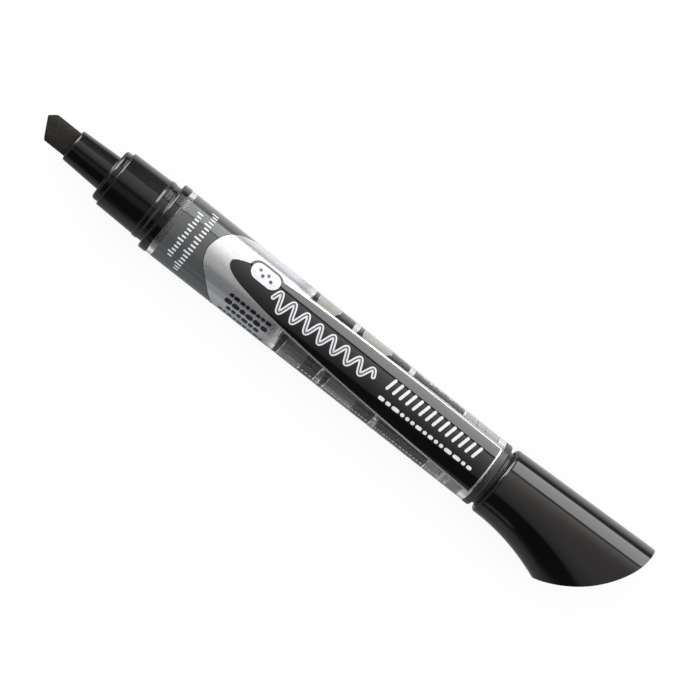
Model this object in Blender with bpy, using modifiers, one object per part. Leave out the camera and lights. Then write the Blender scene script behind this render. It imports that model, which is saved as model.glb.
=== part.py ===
"""Whiteboard marker with a chisel nib, a clear free-ink barrel and a flared cap posted on its tail.

The marker lies on its side on the plane z = 0. Its axis runs along X, nib towards -X, cap towards +X.
Stations are distances from the nib's tip, measured along the axis, in metres.
"""

import math

import bmesh
import bpy
from mathutils import Vector

# Stations along the axis, from the nib's tip.
NIB_TIP = 0.0
SLEEVE_START = 0.0067
SLEEVE_END = 0.0150
SHOULDER_END = 0.0163
BEAD_START = 0.0247
BEAD_END = 0.0260
FLANGE_START = 0.0269
FLANGE_END = 0.0286
LABEL_START = 0.0299
LABEL_END = 0.1006
BARREL_END = 0.1012
REAR_COLLAR_END = 0.1026
CAP_MOUTH = 0.1035
POST_END = 0.1140

# Outer radii.
SLEEVE_FRONT_R = 0.00318
SLEEVE_REAR_R = 0.00357
SHOULDER_R = 0.00527
COLLAR_FRONT_R = 0.00573
COLLAR_REAR_R = 0.00596
BEAD_R = 0.00604
FLANGE_R = 0.0070
BARREL_FRONT_R = 0.00684
BARREL_REAR_R = 0.00655
REAR_COLLAR_R = 0.00661
POST_R = 0.00564
CAP_MOUTH_R = 0.00685

# Walls, clearances and fine steps.
BARREL_BORE_FRONT_R = 0.00590
BARREL_BORE_REAR_R = 0.00575
LABEL_THICKNESS = 0.00010
LABEL_GAP = 0.00003
GAP = 0.00015
FACE_GAP = 0.00010
NIB_HALF_WIDTH = 0.00257
NIB_HALF_THICKNESS = 0.0019
NIB_LENGTH = 0.0215
WICK_R = 0.0015
WICK_END = 0.0925
WICK_HOLE_R = 0.0018
CORE_R = 0.0026
FIN_R = 0.00535
FIN_THICKNESS = 0.0006
FINE_STEPS = 36
INNER_STEPS = 20

# Cap: straight top edge, curved lower edge, and an end close to a quarter of an ellipse, all seen
# square to the flat flank. The ellipse has its centre at a station and at a height over the axis;
# the end lies a little inside it, most of all near the axis.
CAP_TOP_SLOPE = 0.0388
CAP_HEEL_START = 0.0016
CAP_HEEL_CURVE = 13.0
CAP_END_CENTRE = 0.10687
CAP_END_RISE = 0.00734
CAP_END_LENGTH = 0.0276
CAP_END_HEIGHT = 0.0193
CAP_END_FLAT = 0.0007
CAP_END_FLAT_SIDE = -0.0008
CAP_END_FLAT_ABOVE = 0.0102
CAP_END_FLAT_BELOW = 0.0084
CAP_FLANK = 0.0070
CAP_FLANK_GROWTH = 0.0200
CAP_LIP_R = 0.0005
CAP_BORE_R = 0.0061

OVERALL_LENGTH = 0.13428
AXIS_HEIGHT = FLANGE_R


def clear_scene():
    for item in list(bpy.data.objects):
        bpy.data.objects.remove(item)


def new_collection(name):
    collection = bpy.data.collections.new(name)
    bpy.context.scene.collection.children.link(collection)
    return collection


def plastic(name, colour, roughness, metallic=0.0, alpha=1.0):
    material = bpy.data.materials.new(name)
    material.use_nodes = True
    shader = material.node_tree.nodes["Principled BSDF"]
    shader.inputs["Base Color"].default_value = (*colour, 1.0)
    shader.inputs["Roughness"].default_value = roughness
    shader.inputs["Metallic"].default_value = metallic
    shader.inputs["Alpha"].default_value = alpha
    material.diffuse_color = (*colour, alpha)
    return material


def rounded(corners, arc_steps):
    """Corners are (station, radius, fillet). Each corner with a fillet becomes an arc."""
    points = []
    count = len(corners)
    for index, (station, radius, fillet) in enumerate(corners):
        here = Vector((station, radius))
        if fillet <= 0.0:
            points.append(here)
            continue
        before = (Vector(corners[index - 1][:2]) - here).normalized()
        after = (Vector(corners[(index + 1) % count][:2]) - here).normalized()
        half = before.angle(after) / 2
        centre = here + (before + after).normalized() * (fillet / math.sin(half))
        start = here + before * (fillet / math.tan(half)) - centre
        end = here + after * (fillet / math.tan(half)) - centre
        sweep = start.angle_signed(end)
        for step in range(arc_steps + 1):
            turn = -sweep * step / arc_steps
            turned_x = start.x * math.cos(turn) - start.y * math.sin(turn)
            turned_y = start.x * math.sin(turn) + start.y * math.cos(turn)
            points.append(centre + Vector((turned_x, turned_y)))
    return points


def signed_area(points):
    total = 0.0
    for index, point in enumerate(points):
        other = points[(index + 1) % len(points)]
        total += point.y * other.x - other.y * point.x
    return total / 2


def place(piece, collection, material):
    """Puts the piece's own origin at the nib's tip, on the marker's axis."""
    side = (heel_drop() - cap_top(OVERALL_LENGTH)) / 2
    piece.location = (-OVERALL_LENGTH / 2, side, AXIS_HEIGHT)
    collection.objects.link(piece)
    if material is not None:
        piece.data.materials.append(material)
    return piece


def place_along_axis(piece, collection, material):
    """A piece is modelled round its own Z axis, which this lays along the marker's axis."""
    piece.rotation_euler = (0.0, math.pi / 2, 0.0)
    return place(piece, collection, material)


def turned(name, corners, collection, material, steps, closed=True):
    """A turned piece. The outline runs down its outer side, from the tail to the nib."""
    points = rounded(corners, 3 if steps == FINE_STEPS else 1)
    if signed_area(points) > 0.0:
        points.reverse()
    mesh = bpy.data.meshes.new(name)
    edges = [(index, index + 1) for index in range(len(points) - 1)]
    if closed:
        edges.append((len(points) - 1, 0))
    mesh.from_pydata([(point.y, 0.0, point.x) for point in points], edges, [])
    piece = bpy.data.objects.new(name, mesh)
    place_along_axis(piece, collection, material)
    screw = piece.modifiers.new("turn", "SCREW")
    screw.axis = "Z"
    screw.angle = 2 * math.pi
    screw.steps = steps
    screw.render_steps = steps
    screw.use_merge_vertices = True
    screw.merge_threshold = 0.00001
    screw.use_smooth_shade = True
    return piece


def prism(name, outline, low, high):
    """An object whose outline lies in its own XY plane, extruded from low to high along its Z."""
    curve = bpy.data.curves.new(name, "CURVE")
    curve.dimensions = "2D"
    curve.fill_mode = "BOTH"
    curve.extrude = (high - low) / 2
    spline = curve.splines.new("POLY")
    spline.points.add(len(outline) - 1)
    for point, (x, y) in zip(spline.points, outline):
        point.co = (x, y, 0.0, 1.0)
    spline.use_cyclic_u = True
    guide = bpy.data.objects.new(name + "_guide", curve)
    bpy.context.scene.collection.objects.link(guide)
    graph = bpy.context.evaluated_depsgraph_get()
    mesh = bpy.data.meshes.new_from_object(guide.evaluated_get(graph))
    bpy.data.objects.remove(guide)
    mesh.name = name
    shape = bmesh.new()
    shape.from_mesh(mesh)
    bmesh.ops.remove_doubles(shape, verts=shape.verts, dist=0.000001)
    bmesh.ops.translate(shape, verts=shape.verts, vec=(0.0, 0.0, (low + high) / 2))
    bmesh.ops.recalc_face_normals(shape, faces=shape.faces)
    shape.to_mesh(mesh)
    shape.free()
    return bpy.data.objects.new(name, mesh)


def cut(piece, cutter):
    cutter.hide_render = True
    cutter.display_type = "WIRE"
    boolean = piece.modifiers.new("cut_" + cutter.name, "BOOLEAN")
    boolean.operation = "DIFFERENCE"
    boolean.solver = "EXACT"
    boolean.object = cutter


def stadium(half_width, half_thickness, arc_steps=8):
    """An upright oval with straight flanks: two half circles joined by lines."""
    offset = half_width - half_thickness
    points = []
    for side in (1, -1):
        for step in range(arc_steps + 1):
            angle = math.pi * step / arc_steps
            x = side * half_thickness * math.cos(angle)
            y = side * (half_thickness * math.sin(angle) + offset)
            points.append((x, y))
    return points


def chisel_nib(parts, cutters, material):
    """Fibre nib: an oval bar whose front is cut on the slant, with a short bevel on the tip."""
    outline = stadium(NIB_HALF_WIDTH, NIB_HALF_THICKNESS)
    nib = place_along_axis(prism("chisel_nib", outline, NIB_TIP, NIB_LENGTH), parts, material)
    tip = Vector((0.0, 0.00144))
    slant_end = Vector((0.0021, -NIB_HALF_WIDTH))
    bevel_end = Vector((0.0013, NIB_HALF_WIDTH))
    reach = 0.004
    # Each cut is a slab in front of a sloping line, seen square to the nib's flat side.
    for name, end in (("nib_slant", slant_end), ("nib_bevel", bevel_end)):
        along = (end - tip).normalized() * reach
        outward = Vector((-abs(along.y), along.x * math.copysign(1.0, along.y)))
        corners = [tip - along, end + along, end + along + outward, tip - along + outward]
        slab = prism(name, [tuple(corner) for corner in corners], -reach, reach)
        cut(nib, place(slab, cutters, None))
    return nib


def nib_holder(parts, cutters, material):
    """Tapered sleeve with a rounded shoulder, pressed into the front section by its spigot."""
    spigot_r = 0.0047
    spigot_end = 0.0238
    bore_r = 0.0021
    corners = [
        (spigot_end, bore_r, 0.0),
        (spigot_end, spigot_r, 0.0003),
        (SHOULDER_END, spigot_r, 0.0),
        (SHOULDER_END, SHOULDER_R, 0.0),
        (SLEEVE_END, SHOULDER_R, 0.0007),
        (SLEEVE_END, SLEEVE_REAR_R, 0.0),
        (SLEEVE_START, SLEEVE_FRONT_R, 0.0005),
        (SLEEVE_START, bore_r, 0.0),
    ]
    holder = turned("nib_holder", corners, parts, material, FINE_STEPS)
    outline = stadium(NIB_HALF_WIDTH + GAP, NIB_HALF_THICKNESS + GAP)
    slot = prism("nib_slot", outline, SLEEVE_START - 0.002, NIB_LENGTH + 0.0003)
    cut(holder, place_along_axis(slot, cutters, None))
    return holder


def front_section(parts, material):
    """Sealing collar with a snap bead, a flange that meets the barrel, and a plugged spigot."""
    bore_r = 0.0047 + GAP
    spigot_r = BARREL_BORE_FRONT_R - GAP
    spigot_end = 0.0345
    groove_r = 0.0050
    web_front = 0.0240
    web_rear = 0.0256
    web_hole_r = 0.0026
    corners = [
        (spigot_end, spigot_r, 0.0004),
        (0.0327, spigot_r, 0.0),
        (0.0327, groove_r, 0.0),
        (0.0309, groove_r, 0.0),
        (0.0309, spigot_r, 0.0),
        (FLANGE_END, spigot_r, 0.0),
        (FLANGE_END, FLANGE_R, 0.00015),
        (FLANGE_START, FLANGE_R, 0.0005),
        (FLANGE_START, COLLAR_REAR_R, 0.0),
        (BEAD_END, COLLAR_REAR_R, 0.0),
        (BEAD_END - 0.0003, BEAD_R, 0.0),
        (BEAD_START + 0.0003, BEAD_R, 0.0),
        (BEAD_START, COLLAR_REAR_R, 0.0),
        (SHOULDER_END + FACE_GAP, COLLAR_FRONT_R, 0.0004),
        (SHOULDER_END + FACE_GAP, bore_r, 0.0),
        (web_front, bore_r, 0.0),
        (web_front, web_hole_r, 0.0),
        (web_rear, web_hole_r, 0.0),
        (web_rear, 0.0046, 0.0),
        (spigot_end, 0.0046, 0.0),
    ]
    return turned("front_section", corners, parts, material, FINE_STEPS)


def seal_ring(name, start, end, inner_r, outer_r, parts, material):
    """Rubber ring with a rounded section."""
    fillet = min(end - start, outer_r - inner_r) * 0.3
    corners = [
        (end, inner_r, fillet),
        (end, outer_r, fillet),
        (start, outer_r, fillet),
        (start, inner_r, fillet),
    ]
    return turned(name, corners, parts, material, INNER_STEPS)


def wick_grommet(parts, material):
    """Soft bush in the front section's web, which holds the wick and keeps the ink back."""
    corners = [
        (0.0272, WICK_HOLE_R, 0.0),
        (0.0272, 0.0036, 0.0003),
        (0.0256 + GAP, 0.0036, 0.0),
        (0.0256 + GAP, 0.0026 - GAP, 0.0),
        (0.0243, 0.0026 - GAP, 0.0),
        (0.0243, WICK_HOLE_R, 0.0),
    ]
    return turned("wick_grommet", corners, parts, material, INNER_STEPS)


def feed_wick(parts, material):
    """Fibre rod that carries ink from the chambers to the back of the nib."""
    corners = [
        (WICK_END, 0.0, 0.0),
        (WICK_END, WICK_R, 0.0004),
        (NIB_LENGTH + GAP, WICK_R, 0.0003),
        (NIB_LENGTH + GAP, 0.0, 0.0),
    ]
    return turned("feed_wick", corners, parts, material, INNER_STEPS, closed=False)


def barrel_radius(station):
    """The barrel tapers evenly from its front to its tail."""
    share = (station - FLANGE_END) / (BARREL_END - FLANGE_END)
    return BARREL_FRONT_R + (BARREL_REAR_R - BARREL_FRONT_R) * share


def barrel_tube(parts, material):
    start = FLANGE_END + FACE_GAP
    end = BARREL_END - FACE_GAP
    corners = [
        (end, BARREL_BORE_REAR_R, 0.0),
        (end, barrel_radius(end), 0.0002),
        (start, barrel_radius(start), 0.0002),
        (start, BARREL_BORE_FRONT_R, 0.0),
    ]
    return turned("barrel_tube", corners, parts, material, FINE_STEPS)


def label_wrap(parts, material):
    """Printed film wrapped round the barrel. It follows the barrel's taper."""
    inner_front = barrel_radius(LABEL_START) + LABEL_GAP
    inner_rear = barrel_radius(LABEL_END) + LABEL_GAP
    corners = [
        (LABEL_END, inner_rear, 0.0),
        (LABEL_END, inner_rear + LABEL_THICKNESS, 0.0),
        (LABEL_START, inner_front + LABEL_THICKNESS, 0.0),
        (LABEL_START, inner_front, 0.0),
    ]
    return turned("label_wrap", corners, parts, material, FINE_STEPS)


def comb(start, end, fins):
    """Outline corners of a row of fins on a core, from the tail end to the front end."""
    pitch = (end - start - FIN_THICKNESS) / (fins - 1)
    corners = []
    for index in reversed(range(fins)):
        front = start + index * pitch
        corners.append((front + FIN_THICKNESS, FIN_R, 0.0))
        corners.append((front, FIN_R, 0.0))
        if index > 0:
            corners.append((front, CORE_R, 0.0))
            corners.append((front - pitch + FIN_THICKNESS, CORE_R, 0.0))
    return corners


def front_collector(parts, material):
    """Finned buffer behind the front section, which takes up ink when the air inside warms."""
    start = 0.0357
    end = 0.0558
    corners = [(end, WICK_HOLE_R, 0.0)] + comb(start, end, 8) + [(start, WICK_HOLE_R, 0.0)]
    return turned("front_collector", corners, parts, material, INNER_STEPS)


def regulator(name, start, comb_start, end, fins, parts, material):
    """Regulator insert: a flared funnel at the front of its chamber and a comb of fins behind."""
    funnel_r = 0.0049
    funnel_length = 0.0016
    corners = [(end, WICK_HOLE_R, 0.0)] + comb(comb_start, end, fins)
    if comb_start > start + funnel_length:
        corners.append((comb_start, CORE_R, 0.0))
        corners.append((start + funnel_length, CORE_R, 0.0))
        corners.append((start, funnel_r, 0.0))
    corners.append((start, WICK_HOLE_R, 0.0))
    return turned(name, corners, parts, material, INNER_STEPS)


def tail_seal(parts, material):
    """Cup-shaped seal that closes the rear chamber, with a dished front wall and two lips."""
    lip_r = 0.00560
    waist_r = 0.0052
    bore_r = 0.0046
    corners = [
        (0.0964, 0.0, 0.0),
        (0.0960, bore_r, 0.0),
        (0.0996, bore_r, 0.0),
        (0.0996, lip_r, 0.0002),
        (0.0985, waist_r, 0.0),
        (0.0962, waist_r, 0.0),
        (0.0949, lip_r, 0.0002),
        (0.0956, 0.0, 0.0),
    ]
    return turned("tail_seal", corners, parts, material, INNER_STEPS, closed=False)


def rear_plug(parts, material):
    """Tail plug: a collar that covers the barrel's end and a hollow post that holds the cap."""
    spigot_r = BARREL_BORE_REAR_R - GAP
    wall = 0.0012
    spigot_start = 0.0999
    corners = [
        (POST_END, 0.0, 0.0),
        (POST_END, POST_R - 0.0003, 0.0012),
        (0.1093, POST_R - 0.0001, 0.0),
        (0.1087, POST_R + 0.00018, 0.0),
        (0.1079, POST_R + 0.00018, 0.0),
        (0.1073, POST_R, 0.0),
        (REAR_COLLAR_END, POST_R, 0.0),
        (REAR_COLLAR_END, REAR_COLLAR_R, 0.0004),
        (BARREL_END, REAR_COLLAR_R, 0.0001),
        (BARREL_END, spigot_r, 0.0),
        (spigot_start, spigot_r, 0.0002),
        (spigot_start, POST_R - wall, 0.0),
        (POST_END - wall, POST_R - wall - 0.0004, 0.0008),
        (POST_END - wall, 0.0, 0.0),
    ]
    return turned("rear_plug", corners, parts, material, FINE_STEPS, closed=False)


def heel_drop():
    """How far below the axis the cap's lower edge meets its curved end, found by halving."""
    low = CAP_MOUTH
    high = OVERALL_LENGTH
    for _ in range(40):
        station = (low + high) / 2
        along = (station - CAP_END_CENTRE) / CAP_END_LENGTH
        end_drop = CAP_END_HEIGHT * math.sqrt(max(0.0, 1 - along ** 2)) - CAP_END_RISE
        if end_drop > cap_bottom(station):
            low = station
        else:
            high = station
    return cap_bottom(low)


def cap_top(station):
    return CAP_MOUTH_R + CAP_TOP_SLOPE * max(0.0, station - CAP_MOUTH)


def cap_bottom(station):
    past = max(0.0, station - CAP_MOUTH - CAP_HEEL_START)
    return CAP_MOUTH_R + CAP_HEEL_CURVE * past ** 2


def cap_flank(station):
    return CAP_MOUTH_R + CAP_FLANK_GROWTH * max(0.0, station - CAP_MOUTH)


def cap_section(station, inset):
    """One ring of the cap: half ellipses above and below the axis, flattened on both flanks."""
    ring = []
    for step in range(FINE_STEPS):
        angle = 2 * math.pi * step / FINE_STEPS
        depth = (cap_flank(station) - inset) * math.cos(angle)
        reach = cap_top(station) if math.sin(angle) > 0.0 else cap_bottom(station)
        x = max(-CAP_FLANK, min(CAP_FLANK, depth))
        y = (reach - inset) * math.sin(angle)
        ring.append((x, y, station))
    return ring


def cap_shell(parts, cutters, material):
    """Flared cap: a loft from a round mouth to a tall oval, trimmed by a curved end."""
    lip_steps = 3
    stations = []
    for step in range(lip_steps):
        angle = math.pi / 2 * step / lip_steps
        station = CAP_MOUTH + CAP_LIP_R * (1 - math.cos(angle))
        stations.append((station, CAP_LIP_R * (1 - math.sin(angle))))
    body_start = CAP_MOUTH + CAP_LIP_R
    body_end = OVERALL_LENGTH + 0.003
    body_steps = 12
    for step in range(body_steps + 1):
        share = step / body_steps
        stations.append((body_start + (body_end - body_start) * share, 0.0))
    shape = bmesh.new()
    rings = []
    for station, inset in stations:
        rings.append([shape.verts.new(point) for point in cap_section(station, inset)])
    for lower, upper in zip(rings, rings[1:]):
        for index in range(FINE_STEPS):
            after = (index + 1) % FINE_STEPS
            shape.faces.new((lower[index], lower[after], upper[after], upper[index]))
    shape.faces.new(list(reversed(rings[0])))
    shape.faces.new(rings[-1])
    bmesh.ops.recalc_face_normals(shape, faces=shape.faces)
    mesh = bpy.data.meshes.new("cap_shell")
    shape.to_mesh(mesh)
    shape.free()
    mesh.shade_smooth()
    mesh.set_sharp_from_angle(angle=math.radians(35))
    cap = place_along_axis(bpy.data.objects.new("cap_shell", mesh), parts, material)
    cut(cap, cap_end_cutter(cutters))
    cut(cap, cap_bore_cutter(cutters))
    return cap


def cap_end_flattening(side):
    """How far the curved end lies inside its ellipse: most near the axis, nothing at the heel."""
    reach = CAP_END_FLAT_ABOVE if side > CAP_END_FLAT_SIDE else CAP_END_FLAT_BELOW
    share = (side - CAP_END_FLAT_SIDE) / reach
    return CAP_END_FLAT * max(0.0, 1 - share ** 2)


def cap_end_cutter(cutters):
    """Everything beyond the curved end, as a block with a hollow side."""
    arc_steps = 24
    first = math.radians(-100)
    last = math.radians(20)
    outline = []
    for step in range(arc_steps + 1):
        angle = first + (last - first) * step / arc_steps
        length = CAP_END_CENTRE + CAP_END_LENGTH * math.cos(angle)
        side = CAP_END_RISE + CAP_END_HEIGHT * math.sin(angle)
        outline.append((length - cap_end_flattening(side), side))
    far = OVERALL_LENGTH + 0.02
    low = -0.04
    outline.append((far, outline[-1][1]))
    outline.append((far, low))
    outline.append((outline[0][0], low))
    half_depth = 0.012
    return place(prism("cap_end_cutter", outline, -half_depth, half_depth), cutters, None)


def cap_bore_cutter(cutters):
    """The cap's stepped bore: wide for the collar or the post, narrow for the nib's sleeve."""
    corners = [
        (0.1300, 0.0, 0.0),
        (0.1300, 0.0015, 0.0),
        (0.1284, 0.0030, 0.0),
        (0.1236, 0.0039, 0.0),
        (0.1226, CAP_BORE_R - 0.0002, 0.0),
        (CAP_MOUTH + 0.0008, CAP_BORE_R, 0.0),
        (CAP_MOUTH, CAP_BORE_R + 0.0002, 0.0),
        (CAP_MOUTH - 0.002, CAP_BORE_R + 0.0002, 0.0),
        (CAP_MOUTH - 0.002, 0.0, 0.0),
    ]
    return turned("cap_bore_cutter", corners, cutters, None, FINE_STEPS, closed=False)


def cap_liner(parts, material):
    """Inner seal of the cap: a soft sleeve that grips the shoulder when the marker is closed."""
    outer_r = CAP_BORE_R - 0.0002 - GAP
    corners = [
        (0.1222, 0.00535, 0.0),
        (0.1222, outer_r, 0.0001),
        (0.1156, outer_r, 0.0001),
        (0.1156, 0.00545, 0.0001),
    ]
    return turned("cap_liner", corners, parts, material, INNER_STEPS)


def build():
    clear_scene()
    parts = new_collection("whiteboard_marker")
    cutters = new_collection("cutters")
    black = plastic("black_plastic", (0.012, 0.011, 0.011), 0.28)
    clear = plastic("clear_plastic", (0.86, 0.87, 0.87), 0.08, alpha=0.3)
    film = plastic("printed_film", (0.25, 0.25, 0.26), 0.25, alpha=0.6)
    felt = plastic("ink_soaked_felt", (0.02, 0.019, 0.018), 0.9)
    wick = plastic("wick_fibre", (0.55, 0.54, 0.52), 0.9)
    dark = plastic("dark_regulator", (0.05, 0.05, 0.052), 0.45)
    rubber = plastic("black_rubber", (0.02, 0.02, 0.02), 0.6)
    natural = plastic("natural_plastic", (0.75, 0.75, 0.74), 0.4)

    chisel_nib(parts, cutters, felt)
    nib_holder(parts, cutters, black)
    front_section(parts, black)
    seal_ring("front_seal_ring", 0.0311, 0.0325, 0.0050 + GAP, BARREL_BORE_FRONT_R - 0.00006,
              parts, rubber)
    wick_grommet(parts, rubber)
    feed_wick(parts, wick)
    barrel_tube(parts, clear)
    label_wrap(parts, film)
    front_collector(parts, natural)
    regulator("regulator_front", 0.0590, 0.0633, 0.0665, 3, parts, dark)
    regulator("regulator_middle", 0.0692, 0.0751, 0.0793, 3, parts, dark)
    regulator("regulator_rear", 0.0803, 0.0803, 0.0918, 7, parts, dark)
    seal_ring("chamber_seal_front", 0.0575, 0.0585, 0.0019, 0.00565, parts, rubber)
    seal_ring("chamber_seal_middle", 0.0677, 0.0688, 0.0019, 0.00563, parts, rubber)
    tail_seal(parts, natural)
    rear_plug(parts, black)
    cap_shell(parts, cutters, black)
    cap_liner(parts, natural)


build()
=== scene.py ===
import math
import random

import bmesh
import bpy
from mathutils import Matrix, Vector
from mathutils.geometry import tessellate_polygon


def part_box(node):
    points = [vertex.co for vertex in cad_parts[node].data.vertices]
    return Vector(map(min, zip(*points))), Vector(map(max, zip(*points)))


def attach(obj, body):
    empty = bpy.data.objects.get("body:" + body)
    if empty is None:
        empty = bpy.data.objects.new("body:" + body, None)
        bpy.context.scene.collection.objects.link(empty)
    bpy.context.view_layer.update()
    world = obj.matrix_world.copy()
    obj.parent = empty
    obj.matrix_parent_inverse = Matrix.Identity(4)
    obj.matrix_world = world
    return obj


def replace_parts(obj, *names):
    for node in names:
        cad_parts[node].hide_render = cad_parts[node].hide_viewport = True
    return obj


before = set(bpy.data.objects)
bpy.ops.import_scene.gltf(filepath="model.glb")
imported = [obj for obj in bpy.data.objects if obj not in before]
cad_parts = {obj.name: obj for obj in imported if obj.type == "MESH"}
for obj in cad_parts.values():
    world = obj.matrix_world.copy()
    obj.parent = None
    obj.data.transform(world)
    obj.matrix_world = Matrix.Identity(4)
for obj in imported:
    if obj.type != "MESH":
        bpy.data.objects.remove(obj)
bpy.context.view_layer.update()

# Everything below is in millimetres, measured from the nib's tip along the marker's axis.
# Angles go round that axis: 0 is the side facing up, and 90 is the side away from the cap's heel.
mm = 0.001
flangeLow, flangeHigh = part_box("front_section")
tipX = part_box("chisel_nib")[0].x
axisY = (flangeLow.y + flangeHigh.y) / 2
axisZ = (flangeLow.z + flangeHigh.z) / 2
markerBody = "marker"
capBody = "cap"


def station(node, end):
    # how far a node's low (0) or high (1) end lies from the nib's tip
    return (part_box(node)[end].x - tipX) / mm


def spot(s, r, deg):
    a = math.radians(deg)
    return Vector((tipX + s * mm, axisY + r * mm * math.sin(a), axisZ + r * mm * math.cos(a)))


barrel = {
    "start": station("barrel_tube", 0) - 0.08,
    "end": station("barrel_tube", 1) + 0.08,
    "frontRadius": 6.84,
    "rearRadius": 6.55,
    "frontBore": 5.90,
    "rearBore": 5.75,
    "turns": 160,
}


def alongBarrel(front, rear, s):
    share = (s - barrel["start"]) / (barrel["end"] - barrel["start"])
    return barrel[front] + (barrel[rear] - barrel[front]) * share


def barrelRadius(s):
    return alongBarrel("frontRadius", "rearRadius", s)


def boreRadius(s):
    return alongBarrel("frontBore", "rearBore", s)


def rounded(corners, steps=5, guard=0.12):
    # corners are (s, r, fillet); a guard point beside each fillet keeps the flat faces flat
    points = []
    for i, (s, r, fillet) in enumerate(corners):
        here = Vector((s, r))
        if fillet <= 0:
            points.append(here)
            continue
        toLast = Vector(corners[i - 1][:2]) - here
        toNext = Vector(corners[(i + 1) % len(corners)][:2]) - here
        half = toLast.angle(toNext) / 2
        back = fillet / math.tan(half)
        a, b = toLast.normalized(), toNext.normalized()
        centre = here + (a + b).normalized() * (fillet / math.sin(half))
        start = here + a * back - centre
        sweep = start.angle_signed(here + b * back - centre)
        if toLast.length > back + 3 * guard:
            points.append(here + a * (back + guard))
        for k in range(steps + 1):
            turn = -sweep * k / steps
            c, q = math.cos(turn), math.sin(turn)
            points.append(centre + Vector((start.x * c - start.y * q, start.x * q + start.y * c)))
        if toNext.length > back + 3 * guard:
            points.append(here + b * (back + guard))
    return points


def meshObject(name, shape, sharp=35):
    bmesh.ops.remove_doubles(shape, verts=shape.verts, dist=1e-7)
    bmesh.ops.recalc_face_normals(shape, faces=shape.faces)
    mesh = bpy.data.meshes.new(name)
    shape.to_mesh(mesh)
    shape.free()
    mesh.shade_smooth()
    mesh.set_sharp_from_angle(angle=math.radians(sharp))
    piece = bpy.data.objects.new(name, mesh)
    bpy.context.scene.collection.objects.link(piece)
    return piece


def spin(name, corners, turns=128, steps=5, sharp=35, wave=None):
    # a turned piece; an outline that starts and ends on the axis closes there, and a wave adds a
    # little to the radius from place to place
    points = rounded(corners, steps)
    shape = bmesh.new()
    rings = []
    for s, r in points:
        ring = []
        for k in range(turns):
            deg = 360 * k / turns
            extra = wave(s, deg) if wave and r > 0 else 0
            ring.append(shape.verts.new(spot(s, r + extra, deg)))
        rings.append(ring)
    endsOnAxis = points[0].y <= 1e-6 and points[-1].y <= 1e-6
    for i in range(len(rings) - (1 if endsOnAxis else 0)):
        lower, upper = rings[i], rings[(i + 1) % len(rings)]
        for k in range(turns):
            n = (k + 1) % turns
            shape.faces.new((lower[k], lower[n], upper[n], upper[k]))
    return meshObject(name, shape, sharp)


def dress(piece, body, material, nodes=()):
    piece.data.materials.clear()
    piece.data.materials.append(material)
    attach(piece, body)
    if nodes:
        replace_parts(piece, *nodes)
    return piece


# Finishes. Noise sizes are in millimetres; stretch is how much longer the grain is lengthwise.
scratch = {"size": 0.09, "stretch": 18.0, "from": 0.58, "to": 0.70, "roughness": 0.10}
handling = {"size": 8.0, "stretch": 2.0, "from": 0.48, "to": 0.62}
plainBump = 0.2


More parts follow.
